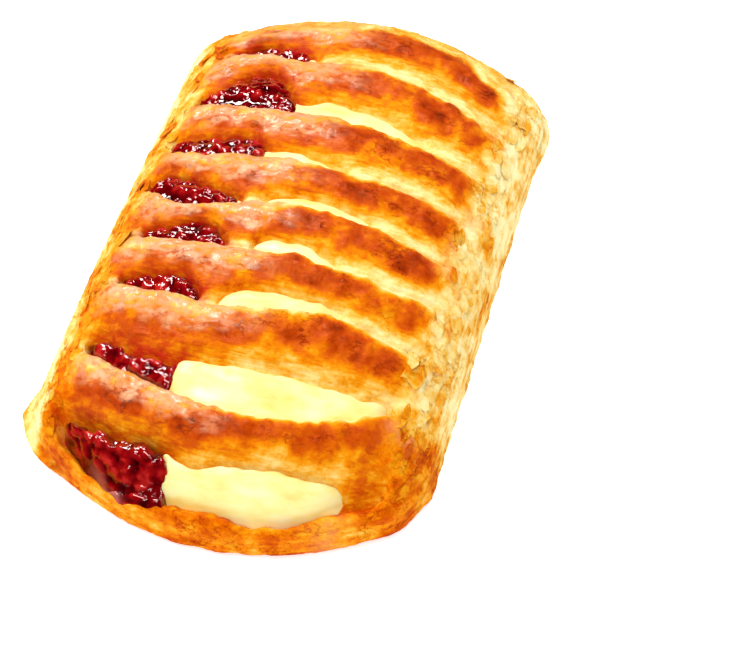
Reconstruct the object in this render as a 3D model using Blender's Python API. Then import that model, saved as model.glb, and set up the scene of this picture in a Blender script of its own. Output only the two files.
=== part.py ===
"""Slatted puff pastry slice: a domed crust with eight slits over a strip of berry jam and a strip of custard.

Lengths are in millimetres and become metres when a mesh is made. The slice lies along Y with its front at -Y.
"Along" is the place on the slice's length before its two ends bow outward, and "across" is its X.
"""

from collections import namedtuple
from math import exp, hypot, pi, sin, sqrt

import bmesh
import bpy
import numpy as np
from mathutils import Vector, noise

MM = 0.001
CLEARANCE = 0.3

# The loaf: a rounded rectangle whose ends bow outward, under a dome that falls to every side.
HALF_WIDTH = 41.5
HALF_LENGTH = 57.8
CORNER = 6.0
FRONT_BOW = 17.2
BACK_BOW = 14.8
BOW_POWER = 1.6
HEIGHT = 29.0
PEAK = -15.0
FALL_LEFT = 0.44
FALL_RIGHT = 0.39
FALL_FRONT = 0.41
FALL_BACK = 0.51
SHOULDER = 13.0
SHOULDER_POWER = 2.1

# The wall under the shoulder: its height, how far its foot is tucked in, and the base layer's flaps.
WALL = 4.5
UNDERCUT = 1.6
LEDGE = 0.4
FLAKE = 0.45
Flap = namedtuple("Flap", "across along reach spread")
FLAPS = (Flap(-39.5, -54.0, 2.4, 8.0), Flap(39.5, 52.5, 1.6, 8.0))

# Slits from front to back. Edge is the back edge of the strip in front of the slit, and lean is how much
# further back that edge is on the left. The slit opens from start to reach, as wide over the jam and over the
# custard as those two say. Seam is where the fillings meet, pinch is how far the slit closes there, and heap is
# how far the jam bulges up.
Slit = namedtuple("Slit", "edge lean start seam reach jam custard pinch heap")
SLITS = (
    Slit(edge=-56.0, lean=0.0, start=-30.4, seam=-7.0, reach=18.0, jam=3.6, custard=2.8, pinch=0.0, heap=1.8),
    Slit(edge=-43.4, lean=0.4, start=-30.4, seam=-10.4, reach=21.0, jam=3.8, custard=6.0, pinch=0.0, heap=0.4),
    Slit(edge=-28.0, lean=0.2, start=-28.6, seam=-10.4, reach=8.0, jam=3.0, custard=2.4, pinch=0.8, heap=0.3),
    Slit(edge=-17.4, lean=0.3, start=-26.0, seam=-10.4, reach=9.0, jam=3.8, custard=2.8, pinch=0.8, heap=0.3),
    Slit(edge=-7.1, lean=0.2, start=-31.0, seam=-11.0, reach=2.0, jam=6.0, custard=2.2, pinch=0.6, heap=0.9),
    Slit(edge=6.5, lean=0.0, start=-31.5, seam=-11.0, reach=0.0, jam=4.6, custard=2.8, pinch=0.6, heap=0.5),
    Slit(edge=21.3, lean=0.6, start=-28.0, seam=-8.0, reach=14.0, jam=7.0, custard=3.8, pinch=0.0, heap=1.8),
    Slit(edge=35.6, lean=1.6, start=-26.0, seam=-12.0, reach=-16.0, jam=4.8, custard=1.0, pinch=0.0, heap=0.4),
)
BACK_CREST = 46.5
EDGE_WAVE = 0.7

# Across a slit: the steep back of a strip, the floor of the groove, and the sloping cut face behind it.
STEEP = 0.9
DEPTH = 4.2
CREASE = 1.9
CUT_SHARE = 0.42
LIP_DROP = 0.8
RIM_DROP = 4.6
SLAT_END = 31.5
SLAT_FADE = 4.5
START_FADE = 2.6
REACH_FADE = 9.0

# The fillings: how far below the dome they show, how deep they dive under a slat, and where they stop.
SHOWN = 2.5
COVERED = 4.4
TOE = 6.8
FILLING_FLOOR = 5.0
FILLING_BACK = 45.0
JAM_LEFT = -31.6
CUSTARD_RIGHT = 30.5
SEAM_BLEND = 1.5
PINCH_SPREAD = 2.6
END_ROUND = 2.6

CRUST_COLUMNS = 34
JAM_COLUMNS = 8
CUSTARD_COLUMNS = 11
WALL_RINGS = 4
EDGE_CROWDING = 0.32

SLIT_STEPS = ("edge", "foot", "floor", "end", "face", "lip", "crown")
FILLING_STEPS = ("under", "near", "middle", "far", "toe", "below")
FRONT_STEPS = (0.0, 0.12, 0.3, 0.55, 0.8)
BACK_STEPS = (0.0, 0.25, 0.48, 0.68, 0.84, 0.94, 1.0)


def mix(start, end, share):
    return start + (end - start) * share


def ease(low, high, value):
    """0 below low, 1 above high, with a smooth turn between them."""
    share = min(max((value - low) / (high - low), 0.0), 1.0)
    return share * share * (3.0 - 2.0 * share)


def ripple(across, along, size, seed):
    """Smooth noise from -1 to 1 whose bumps are about size wide."""
    return noise.noise(Vector((across / size, along / size, seed)))


def half_width(along):
    into_corner = min(max(abs(along) - (HALF_LENGTH - CORNER), 0.0), CORNER)
    return HALF_WIDTH - CORNER + sqrt(CORNER**2 - into_corner**2)


def past_corner(across, along):
    """How far a point is past the corner circles' centres, across and along."""
    return abs(across) - (HALF_WIDTH - CORNER), abs(along) - (HALF_LENGTH - CORNER)


def inset(across, along):
    """Distance inward from the loaf's outline."""
    beside, beyond = past_corner(across, along)
    if beside > 0.0 and beyond > 0.0:
        return max(CORNER - hypot(beside, beyond), 0.0)
    return max(CORNER - max(beside, beyond), 0.0)


def outward(across, along):
    """Level direction out of the loaf at a point on its outline."""
    beside, beyond = past_corner(across, along)
    direction = Vector((max(beside, 0.0), max(beyond, 0.0)))
    direction.normalize()
    return Vector((direction.x if across > 0.0 else -direction.x, direction.y if along > 0.0 else -direction.y))


def bowed(across, along):
    """Y of a point once the ends bow outward."""
    reach = -FRONT_BOW if along < 0.0 else BACK_BOW
    return along + reach * abs(along / HALF_LENGTH) ** BOW_POWER * (1.0 - (across / HALF_WIDTH) ** 2)


def dome(across, along):
    """Height of the loaf's skin where no slit cuts it."""
    side_fall = FALL_LEFT if across < 0.0 else FALL_RIGHT
    end, end_fall = (-HALF_LENGTH, FALL_FRONT) if along < PEAK else (HALF_LENGTH, FALL_BACK)
    sideways = 1.0 - side_fall * (across / HALF_WIDTH) ** 2
    lengthwise = 1.0 - end_fall * ((along - PEAK) / (end - PEAK)) ** 2
    slope = min(inset(across, along) / SHOULDER, 1.0)
    shoulder = (1.0 - (1.0 - slope) ** SHOULDER_POWER) ** (1.0 / SHOULDER_POWER)
    return WALL + (HEIGHT * sideways * lengthwise - WALL) * shoulder


def seam(along):
    """X of the line where the jam meets the custard."""
    return np.interp(along, [slit.edge for slit in SLITS], [slit.seam for slit in SLITS])


def edge_line(index, across):
    """Place of the back edge of the strip in front of a slit, or of the back rim's crest."""
    wave = EDGE_WAVE * ripple(across, 0.0, 13.0, 7.0 + 5.0 * index)
    if index == len(SLITS):
        return BACK_CREST + wave
    return SLITS[index].edge - SLITS[index].lean * across / SLAT_END + wave


def openness(slit, across):
    """1 where a slit stands open, 0 where its strips touch."""
    ends = ease(slit.start - START_FADE, slit.start, across) * (1.0 - ease(slit.reach, slit.reach + REACH_FADE, across))
    return ends * (1.0 - slit.pinch * exp(-(((across - slit.seam - 0.8 * PINCH_SPREAD) / PINCH_SPREAD) ** 2)))


def slit_span(index, across):
    """Places of a slit's foot, of its groove's end, of the lip over it and of the next edge, and its openness."""
    slit = SLITS[index]
    edge = edge_line(index, across)
    next_edge = edge_line(index + 1, across)
    share = openness(slit, across)
    width = mix(slit.jam, slit.custard, ease(slit.seam - SEAM_BLEND, slit.seam + SEAM_BLEND, across))
    foot = edge + STEEP
    end = foot + mix(0.3, width, share)
    lip = mix(end, next_edge, CUT_SHARE)
    return edge, foot, end, lip, next_edge, share


def crust_step(index, step, across):
    """Place of one step of the crust across a slit, and its drop below the dome."""
    edge, foot, end, lip, next_edge, share = slit_span(index, across)
    depth = mix(CREASE, DEPTH, share)
    rim_drop = RIM_DROP if index == 0 else 0.0
    depth = max(depth, rim_drop + CREASE)
    return {
        "edge": (edge, rim_drop),
        "foot": (foot, depth),
        "floor": (mix(foot, end, 0.5), depth),
        "end": (end, depth),
        "face": (mix(end, lip, 0.5), mix(depth, LIP_DROP, 0.62)),
        "lip": (lip, LIP_DROP),
        "crown": (mix(lip, next_edge, 0.55), 0.2 * LIP_DROP),
    }[step]


def filling_step(index, step, across, heap, grown):
    """Place of one step of a filling across a slit, and its drop below the dome."""
    edge, foot, end, lip, next_edge, share = slit_span(index, across)
    shown = mix(COVERED, SHOWN, share)
    far = mix(end, lip, 0.2) + grown
    under = edge if index else foot - grown
    return {
        "under": (under, shown + (0.7 if index else 0.0)),
        "near": (foot + 0.2, shown - 0.3 * heap * share),
        "middle": (mix(foot, far, 0.5), shown - heap * share),
        "far": (far, shown),
        "toe": (far + 0.7, TOE),
        "below": (mix(far, next_edge, 0.55), mix(TOE, COVERED, 0.5)),
    }[step]


def crust_rows():
    """Each row of the crust's grid, front to back, as a function from across to its place and drop."""

    def front(share):
        def row(across):
            return mix(-HALF_LENGTH, edge_line(0, across), share), RIM_DROP * share**2

        return row

    def slit(index, step):
        return lambda across: crust_step(index, step, across)

    def back(share):
        return lambda across: (mix(edge_line(len(SLITS), across), HALF_LENGTH, share), 0.0)

    rows = [front(share) for share in FRONT_STEPS]
    rows += [slit(index, step) for index in range(len(SLITS)) for step in SLIT_STEPS]
    return rows + [back(share) for share in BACK_STEPS]


def filling_rows(jam, grown):
    """Each row of a filling's grid, front to back, as a function from across to its place and drop."""

    def slit(index, step):
        heap = SLITS[index].heap if jam else 0.3
        return lambda across: filling_step(index, step, across, heap, grown)

    rows = [slit(index, step) for index in range(len(SLITS)) for step in FILLING_STEPS]
    return rows[:-1] + [lambda across: (FILLING_BACK + grown, COVERED + 1.0)]


def crust_point(rows, across_share, row_share, level):
    """Point of the crust at a grid place: level 1 is the skin and lower levels are the wall's rings."""
    row = rows[round(row_share * (len(rows) - 1))]
    crowded = across_share * (1.0 + EDGE_CROWDING * (1.0 - across_share**2))
    across = half_width(row(0.0)[0]) * crowded
    along, drop = row(across)
    drop *= 1.0 - ease(SLAT_END, SLAT_END + SLAT_FADE, abs(across))
    depth_in = inset(across, along)
    crag = 0.45 * ripple(across, along, 8.0, 1.0) + 0.25 * ripple(across, along, 3.0, 2.0)
    crag += 0.5 * FLAKE * sin(1.9 * depth_in) * (1.0 - ease(5.0, 11.0, depth_in))
    height = dome(across, along) - drop + crag * ease(0.0, 4.0, depth_in)
    place = Vector((across, bowed(across, along)))
    if level < 1.0:
        flap = sum(f.reach * exp(-(hypot(across - f.across, along - f.along) / f.spread) ** 2) for f in FLAPS)
        outset = (LEDGE + flap) * sin(pi * min(level * 1.15, 1.0)) - UNDERCUT * (1.0 - level) ** 3
        outset += FLAKE * ripple(across + along, 9.0 * level, 3.5, 4.0) * min(4.0 * level, 1.0)
        place += outward(across, along) * outset
        height *= level
    return Vector((place.x, place.y, height))


def filling_point(rows, jam, grown, across_share, row_share, level):
    """Point of a filling at a grid place: level 1 is its top and level 0 its flat floor."""
    row = rows[round(row_share * (len(rows) - 1))]
    line = seam(row(0.0)[0])
    left, right = (JAM_LEFT, line - 0.5 * CLEARANCE) if jam else (line + 0.5 * CLEARANCE, CUSTARD_RIGHT)
    across = mix(left, right, 0.5 + 0.5 * across_share)
    along, drop = row(across)
    outer_end = across - left if jam else right - across
    drop += 1.4 * (1.0 - min(outer_end / END_ROUND, 1.0)) ** 2 - grown
    swell = 0.25 * ripple(across, along, 6.0, 11.0 if jam else 12.0)
    height = dome(across, along) - drop + swell
    across += grown * across_share
    return Vector((across, bowed(across, along), mix(FILLING_FLOOR - grown, height, level)))


def grid_block(name, columns, rows, rings, point):
    """A closed block over a grid, moved into shape by point, with a single flat face underneath."""
    bm = bmesh.new()
    bmesh.ops.create_grid(bm, x_segments=columns, y_segments=rows, size=1.0)
    raised = bmesh.ops.extrude_face_region(bm, geom=bm.faces[:])["geom"]
    bmesh.ops.translate(bm, vec=(0.0, 0.0, 1.0), verts=[item for item in raised if isinstance(item, bmesh.types.BMVert)])
    under = [face for face in bm.faces if all(vert.co.z < 0.5 for vert in face.verts)]
    bmesh.ops.dissolve_faces(bm, faces=under, use_verts=True)
    if rings > 1:
        upright = [edge for edge in bm.edges if abs(edge.verts[0].co.z - edge.verts[1].co.z) > 0.5]
        bmesh.ops.subdivide_edges(bm, edges=upright, cuts=rings - 1, use_grid_fill=True)
    for vert in bm.verts:
        vert.co = point(vert.co.x, 0.5 + 0.5 * vert.co.y, vert.co.z) * MM
    bmesh.ops.triangulate(bm, faces=bm.faces[:], quad_method="FIXED")
    bmesh.ops.recalc_face_normals(bm, faces=bm.faces)
    mesh = bpy.data.meshes.new(name)
    bm.to_mesh(mesh)
    bm.free()
    mesh.shade_smooth()
    return bpy.data.objects.new(name, mesh)


def filling(name, jam, grown):
    rows = filling_rows(jam, grown)
    columns = JAM_COLUMNS if jam else CUSTARD_COLUMNS

    def point(across_share, row_share, level):
        return filling_point(rows, jam, grown, across_share, row_share, level)

    return grid_block(name, columns, len(rows) - 1, 1, point)


def crust(name):
    rows = crust_rows()

    def point(across_share, row_share, level):
        return crust_point(rows, across_share, row_share, level)

    return grid_block(name, CRUST_COLUMNS, len(rows) - 1, WALL_RINGS, point)


def hollow_out(solid, cutter):
    cut = solid.modifiers.new("hollow for " + cutter.name, "BOOLEAN")
    cut.operation = "DIFFERENCE"
    cut.object = cutter
    cutter.hide_render = True
    cutter.display_type = "WIRE"


def dress(solid, name, colour, roughness):
    material = bpy.data.materials.new(name)
    material.use_nodes = True
    shader = material.node_tree.nodes["Principled BSDF"]
    shader.inputs["Base Color"].default_value = (*colour, 1.0)
    shader.inputs["Roughness"].default_value = roughness
    shader.inputs["Metallic"].default_value = 0.0
    solid.data.materials.append(material)


def centre_on_origin(objects, reference):
    """Moves the meshes so that the middle of the reference's underside is the origin."""
    corners = [vert.co for vert in reference.data.vertices]
    low = Vector([min(corner[axis] for corner in corners) for axis in range(3)])
    high = Vector([max(corner[axis] for corner in corners) for axis in range(3)])
    shift = Vector((0.5 * (low.x + high.x), 0.5 * (low.y + high.y), low.z))
    for thing in objects:
        for vert in thing.data.vertices:
            vert.co -= shift


def main():
    for thing in list(bpy.data.objects):
        bpy.data.objects.remove(thing)
    pastry = crust("pastry_crust")
    jam = filling("berry_jam", True, 0.0)
    custard = filling("custard", False, 0.0)
    cutters = [filling("jam_cutter", True, CLEARANCE), filling("custard_cutter", False, CLEARANCE)]
    parts = bpy.data.collections.new("pastry_slice")
    helpers = bpy.data.collections.new("cutters")
    for collection, members in ((parts, (pastry, jam, custard)), (helpers, cutters)):
        bpy.context.scene.collection.children.link(collection)
        for member in members:
            collection.objects.link(member)
    centre_on_origin([pastry, jam, custard, *cutters], pastry)
    for cutter in cutters:
        hollow_out(pastry, cutter)
    dress(pastry, "baked_puff_pastry", (0.55, 0.17, 0.02), 0.42)
    dress(jam, "berry_jam", (0.20, 0.004, 0.008), 0.15)
    dress(custard, "vanilla_custard", (0.95, 0.82, 0.36), 0.35)


main()
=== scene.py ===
from collections import namedtuple
from math import cos, pi, radians, sin

import bpy
import numpy as np
from mathutils import Matrix, Vector, noise


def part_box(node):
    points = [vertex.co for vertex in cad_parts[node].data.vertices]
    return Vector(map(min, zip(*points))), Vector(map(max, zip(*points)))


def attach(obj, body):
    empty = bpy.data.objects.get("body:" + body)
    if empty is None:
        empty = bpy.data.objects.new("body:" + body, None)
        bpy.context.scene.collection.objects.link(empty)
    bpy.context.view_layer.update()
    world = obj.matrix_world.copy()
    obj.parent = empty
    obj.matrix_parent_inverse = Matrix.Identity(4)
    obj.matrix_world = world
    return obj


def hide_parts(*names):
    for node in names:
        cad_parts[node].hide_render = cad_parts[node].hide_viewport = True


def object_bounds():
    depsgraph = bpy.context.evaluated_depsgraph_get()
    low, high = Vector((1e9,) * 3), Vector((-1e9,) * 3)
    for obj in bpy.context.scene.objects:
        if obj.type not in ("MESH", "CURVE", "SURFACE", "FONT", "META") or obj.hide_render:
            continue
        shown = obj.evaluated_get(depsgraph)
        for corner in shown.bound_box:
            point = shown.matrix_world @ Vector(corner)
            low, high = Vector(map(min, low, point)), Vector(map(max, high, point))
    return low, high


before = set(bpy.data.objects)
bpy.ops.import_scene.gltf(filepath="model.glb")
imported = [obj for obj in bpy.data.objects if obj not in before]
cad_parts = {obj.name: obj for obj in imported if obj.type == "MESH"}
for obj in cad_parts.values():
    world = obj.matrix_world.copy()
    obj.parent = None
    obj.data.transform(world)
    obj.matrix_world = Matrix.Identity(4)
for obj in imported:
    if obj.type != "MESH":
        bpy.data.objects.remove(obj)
cad_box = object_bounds()

MM = 0.001
rng = np.random.default_rng(20)

# The loaf, in millimetres, as the solids have it: a rounded rectangle whose ends bow outward, under a dome.
HALF_WIDTH = 41.5
HALF_LENGTH = 57.8
CORNER = 6.0
FRONT_BOW = 17.2
BACK_BOW = 14.8
BOW_POWER = 1.6
HEIGHT = 29.0
PEAK = -15.0
FALL_LEFT = 0.44
FALL_RIGHT = 0.39
FALL_FRONT = 0.41
FALL_BACK = 0.51
SHOULDER = 13.0
SHOULDER_POWER = 2.1
WALL = 4.5
UNDERCUT = 1.6
LEDGE = 0.4
Flap = namedtuple("Flap", "across along reach spread")
FLAPS = (Flap(-39.5, -54.0, 2.4, 8.0), Flap(39.5, 52.5, 1.6, 8.0))

# Slits from front to back, each drawn through (across, value) points: the back edge of the strip in front of
# it, and the gap that the filling shows in. The seam is where jam meets custard, the heap is how far the jam
# swells, and the cut is the share of the strip behind that its sloping cut face takes.
Slit = namedtuple("Slit", "seam heap cut line gap")
SLITS = (
    Slit(
        seam=-6.5,
        heap=2.2,
        cut=0.40,
        line=(
            (-33, -54.6), (-28, -55.6), (-20, -56.5), (-8, -55.6), (0, -55.4), (10, -55.9),
            (18, -55.8), (24, -54.9), (31, -54.0),
        ),
        gap=(
            (-33, 0), (-31, 1.2), (-27, 2.6), (-20, 3.7), (-14, 4.1), (-8, 3.0), (-4, 2.4), (4, 3.2),
            (13, 3.9), (19, 2.9), (23, 2.1), (25.5, 1.2), (27, 0),
        ),
    ),
    Slit(
        seam=-10.4,
        heap=0.5,
        cut=0.46,
        line=(
            (-31, -41.4), (-20, -43.1), (-10, -44.3), (0, -44.7), (10, -45.0), (20, -43.7),
            (30, -42.0),
        ),
        gap=(
            (-33, 0), (-31.5, 1.2), (-20, 2.5), (-14, 3.1), (-9.0, 5.2), (0, 6.0), (8, 6.4), (16, 5.2),
            (24, 3.4), (30, 1.6), (33.5, 0),
        ),
    ),
    Slit(
        seam=-10.6,
        heap=0.4,
        cut=0.32,
        line=(
            (-30, -27.5), (-20, -28.0), (-12, -28.6), (-5, -28.8), (2, -28.0), (8, -27.2), (15, -26.5),
            (25, -28.0), (30, -29.4),
        ),
        gap=(
            (-31.5, 0), (-29, 1.4), (-20, 2.9), (-15, 2.6), (-12, 0.9), (-8, 0.8), (-4, 2.7), (2, 2.9),
            (9, 1.8), (16, 0.7), (22, 0.2), (33, 0),
        ),
    ),
    Slit(
        seam=-9.4,
        heap=0.5,
        cut=0.30,
        line=(
            (-30, -15.7), (-25, -16.2), (-18, -17.0), (-10, -17.4), (0, -17.1), (5, -16.5),
            (11, -17.1), (20, -17.4), (30, -18.0),
        ),
        gap=(
            (-31, 0), (-28, 1.5), (-22, 3.2), (-18, 4.2), (-14, 3.4), (-11, 1.0), (-8, 0.1), (-6, 0.4),
            (-3, 2.2), (3, 2.3), (9, 1.4), (15, 0.6), (22, 0.2), (33, 0),
        ),
    ),
    Slit(
        seam=-11.4,
        heap=1.0,
        cut=0.32,
        line=(
            (-33, -2.6), (-30, -4.6), (-27, -6.3), (-22, -7.7), (-15, -7.4), (-8, -6.2), (0, -5.0),
            (10, -5.1), (20, -5.9), (30, -7.4),
        ),
        gap=(
            (-35.5, 0), (-33, 2.6), (-29.5, 5.8), (-25, 6.4), (-20, 4.9), (-14, 2.2), (-10, 0.5),
            (-5, 1.2), (1, 2.3), (9, 1.9), (17, 0.7), (24, 0.2), (33, 0),
        ),
    ),
    Slit(
        seam=-10.8,
        heap=0.6,
        cut=0.34,
        line=(
            (-34, 11.0), (-30, 9.2), (-25, 7.8), (-18, 7.1), (-10, 7.6), (0, 7.1), (10, 6.7),
            (20, 6.9), (30, 5.6),
        ),
        gap=(
            (-37, 0), (-34.5, 2.4), (-27, 4.6), (-20, 5.4), (-15, 5.0), (-11, 2.2), (-6, 1.9),
            (1, 1.3), (8, 0.6), (18, 0.2), (33, 0),
        ),
    ),
    Slit(
        seam=-8.0,
        heap=1.8,
        cut=0.40,
        line=(
            (-31, 24.6), (-25, 23.6), (-20, 22.4), (-14, 21.2), (-9, 20.8), (0, 21.1), (10, 20.7),
            (20, 20.6), (30, 19.4),
        ),
        gap=(
            (-33, 0), (-30, 2.6), (-26, 7.0), (-20, 10.8), (-15, 9.0), (-10, 3.6), (-7, 3.4),
            (-3, 4.6), (3, 4.3), (11, 3.2), (18, 1.5), (24, 0.4), (34, 0),
        ),
    ),
    Slit(
        seam=-11.0,
        heap=0.5,
        cut=0.44,
        line=(
            (-31, 41.6), (-25, 41.0), (-20, 39.6), (-15, 37.9), (-10, 37.1), (0, 37.4), (10, 37.0),
            (20, 36.0), (30, 34.4),
        ),
        gap=((-30, 0), (-25, 2.4), (-20, 3.2), (-15, 3.2), (-12, 1.8), (-8, 0.4), (31, 0)),
    ),
)
BACK_CREST = ((-31, 47.2), (-20, 48.6), (-10, 49.8), (0, 50.8), (10, 51.2), (20, 50.2), (31, 47.0))
EDGE_WAVE = 0.7  # how far a strip's back edge waves
STEEP = 0.9  # run of the steep drop behind that edge
DEPTH = 4.2  # floor of an open slit, below the dome
CREASE = 0.6  # floor of a closed slit
FRONT_DEPTH = 1.8  # floor of the open front slit, below its closed floor
LEAST_GAP = 0.8  # width of a closed slit's groove
EDGE_DROP = 0.55  # back edge of a strip, below the dome
LIP_DROP = 0.8  # lip of the strip behind
RIM_DROP = 4.6  # crest of the front rim
SLAT_END = 31.5  # half the strips' length, where they begin to fade into the sides
SLAT_FADE = 4.5
SHOWN = 2.5  # a filling's top where it shows, below the dome
COVERED = 4.4  # and where a strip covers it
HIDDEN = 0.9  # how deep in the front rim it lies where it doesn't show
JAM_SPILL = 1.15  # how far the front heap of jam runs over the rim
SPILL_MIDDLE = -11.5
SPILL_HALF = 8.5
Smear = namedtuple("Smear", "across along reach")  # jam smeared on the crust
SMEARS = (
    Smear(-25.5, 45.0, 3.6),
    Smear(-33.0, -54.5, 3.2),
    Smear(-31.0, -56.8, 2.6),
    Smear(-20.0, 32.0, 4.0),
)
PAINTED_REFLECTION_SYRUP = (-20.0, -56.8)  # middle of the thin clear jelly at the foot of the front heap, its pale pink partly a painted reflection
RIM_PAINTED_SHEEN_SPOT = (24.5, -56.9)  # where a pale peach sheen is painted on the front rim's right end, over its pinkish-orange lip
TUCK = 1.6  # how far the custard runs under the jam
TOE = 6.8  # a filling's top just behind a slit, below the dome
FILLING_FLOOR = 5.0
FILLING_BACK = 45.0
JAM_LEFT = -34.0
CUSTARD_RIGHT = 30.5
END_ROUND = 2.6  # how far in a filling's outer end rounds down
OUTER_DROP = 1.4  # and how far down
JAM_MEET_DROP = 2.6  # how far the jam rounds down where it meets the custard
CUSTARD_MEET_DROP = 1.2
GROOVE = 1.75  # station of a groove's middle, where the back of one strip meets the face of the next
# How browned a strip is at each station: pale by its back edge, brown over its crown, pale down its cut face.
CROWN = (
    (-1.5, 0.16), (-0.9, 0.16), (-0.3, 0.18), (0.0, 0.24), (0.12, 0.44), (0.24, 0.64), (0.42, 0.74),
    (0.70, 0.73), (0.90, 0.64), (1.02, 0.52), (1.18, 0.40), (1.36, 0.24), (1.5, 0.14),
)
MOST_BAKED = 0.84
FLAKE_COUNT = 180
FLAKE_CORNERS = 9
FLAKE_THICK = 0.08

# How closely the surfaces are drawn, in millimetres.
CRUST_SPACING = 0.50
FILLING_SPACING = 0.40
WALL_RINGS = 11
FILLING_RINGS = 6


def mix(start, end, share):
    return start + (end - start) * share


def ease(low, high, value):
    """0 below low, 1 above high, with a smooth turn between them."""
    share = np.clip((value - low) / (high - low), 0.0, 1.0)
    return share * share * (3.0 - 2.0 * share)


def noise_field(function, across, along, height):
    """A noise function's values at every point of three arrays."""
    across, along, height = np.broadcast_arrays(across, along, height)
    points = zip(across.ravel().tolist(), along.ravel().tolist(), height.ravel().tolist())
    return np.array([function(point) for point in points]).reshape(across.shape)


def ripple(across, along, size, seed):
    """Smooth noise from -1 to 1 whose bumps are about size wide, the same as in the solids."""
    return noise_field(noise.noise, across / size, along / size, seed)


def crumple(across, along, height, seed, octaves=3):
    """Rough noise about 0 whose largest bumps are 1 wide."""
    return noise_field(lambda point: noise.fractal(point, 0.8, 2.1, octaves), across + seed, along, height)


def half_width(along):
    """Half the loaf's width at a place along it."""
    into_corner = np.clip(np.abs(along) - (HALF_LENGTH - CORNER), 0.0, CORNER)
    return HALF_WIDTH - CORNER + np.sqrt(CORNER**2 - into_corner**2)


def past_corner(across, along):
    """How far a point lies past the middle of its rounded corner, sideways and lengthwise."""
    return np.abs(across) - (HALF_WIDTH - CORNER), np.abs(along) - (HALF_LENGTH - CORNER)


def inset(across, along):
    """Distance inward from the loaf's outline."""
    beside, beyond = past_corner(across, along)
    straight = CORNER - np.maximum(beside, beyond)
    turned = CORNER - np.hypot(beside, beyond)
    return np.maximum(np.where((beside > 0.0) & (beyond > 0.0), turned, straight), 0.0)


def outward(across, along):
    """Level direction out of the loaf at points on its outline."""
    beside, beyond = (np.maximum(value, 0.0) for value in past_corner(across, along))
    length = np.maximum(np.hypot(beside, beyond), 1e-6)
    return beside / length * np.sign(across), beyond / length * np.sign(along)


def bowed(across, along):
    """Y of a point once the ends bow outward."""
    reach = np.where(along < 0.0, -FRONT_BOW, BACK_BOW)
    return along + reach * np.abs(along / HALF_LENGTH) ** BOW_POWER * (1.0 - (across / HALF_WIDTH) ** 2)


def dome(across, along):
    """Height of the loaf's skin where no slit cuts it."""
    front = along < PEAK
    side_fall = np.where(across < 0.0, FALL_LEFT, FALL_RIGHT)
    end_fall = np.where(front, FALL_FRONT, FALL_BACK)
    reach = np.where(front, -HALF_LENGTH, HALF_LENGTH) - PEAK
    sideways = 1.0 - side_fall * (across / HALF_WIDTH) ** 2
    lengthwise = 1.0 - end_fall * ((along - PEAK) / reach) ** 2
    slope = np.minimum(inset(across, along) / SHOULDER, 1.0)
    shoulder = (1.0 - (1.0 - slope) ** SHOULDER_POWER) ** (1.0 / SHOULDER_POWER)
    return WALL + (HEIGHT * sideways * lengthwise - WALL) * shoulder


def curve(points, place):
    """Smooth line through points, level beyond its ends."""
    places, values = np.array(points, dtype=float).T
    slopes = np.gradient(values, places)
    low = np.clip(np.searchsorted(places, place) - 1, 0, len(places) - 2)
    width = places[low + 1] - places[low]
    share = np.clip((place - places[low]) / width, 0.0, 1.0)
    bend = width * share * (1.0 - share) * ((1.0 - share) * slopes[low] - share * slopes[low + 1])
    return mix(values[low], values[low + 1], share**2 * (3.0 - 2.0 * share)) + bend


def seam(along):
    """X of the line where the jam meets the custard."""
    return np.interp(along, [curve(slit.line, slit.seam) for slit in SLITS], [slit.seam for slit in SLITS])


# How the strips' back edges and the back rim's crest wave, one row for each.
EDGE_SAMPLES = np.linspace(-HALF_WIDTH, HALF_WIDTH, 300)
EDGE_WAVES = [
    ripple(EDGE_SAMPLES, 0.0, 7.0, 3.0 + edge) + 0.4 * ripple(EDGE_SAMPLES, 0.0, 2.4, 40.0 + edge)
    for edge in range(len(SLITS) + 1)
]


def edge_line(index, across):
    """Place of the back edge of the strip in front of a slit, or of the back rim's crest."""
    points = SLITS[index].line if index < len(SLITS) else BACK_CREST
    return curve(points, across) + EDGE_WAVE * np.interp(across, EDGE_SAMPLES, EDGE_WAVES[index])


def slit_span(index, across):
    """Places of a slit's edge, foot, groove end, lip and next edge, front to back, and how open it is."""
    edge = edge_line(index, across)
    next_edge = edge_line(index + 1, across)
    gap = np.maximum(curve(SLITS[index].gap, across), 0.0)
    foot = edge + STEEP
    end = foot + np.maximum(gap, LEAST_GAP)
    lip = mix(end, next_edge, SLITS[index].cut)
    return edge, foot, end, lip, next_edge, ease(0.1, 1.4, gap)


def crust_lines(index, across):
    """The crust's lines across one slit, front to back: place, drop below the dome, and station on a strip.

    Station is 0 on a strip's back edge, 1 on the lip of its cut face, over 1 down that face and under 0 down
    the strip's back.
    """
    edge, foot, end, lip, next_edge, share = slit_span(index, across)
    depth = mix(CREASE, DEPTH, share) if index else RIM_DROP + CREASE + FRONT_DEPTH * share
    edge_drop = EDGE_DROP if index else RIM_DROP
    return [
        (edge, edge_drop, 0.0),
        (edge + 0.35, edge_drop + 0.9, -0.35),
        (foot, depth, -0.9),
        (mix(foot, end, 0.5), depth, -GROOVE),
        (end, depth, 1.5),
        (mix(end, lip, 0.22), mix(depth, LIP_DROP, 0.36), 1.4),
        (mix(end, lip, 0.6), mix(depth, LIP_DROP, 0.78), 1.2),
        (lip, LIP_DROP, 1.0),
        (mix(lip, next_edge, 0.3), -0.1, 0.7),
        (mix(lip, next_edge, 0.6), -0.4, 0.4),
        (mix(lip, next_edge, 0.88), -0.1, 0.12),
    ]


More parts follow.
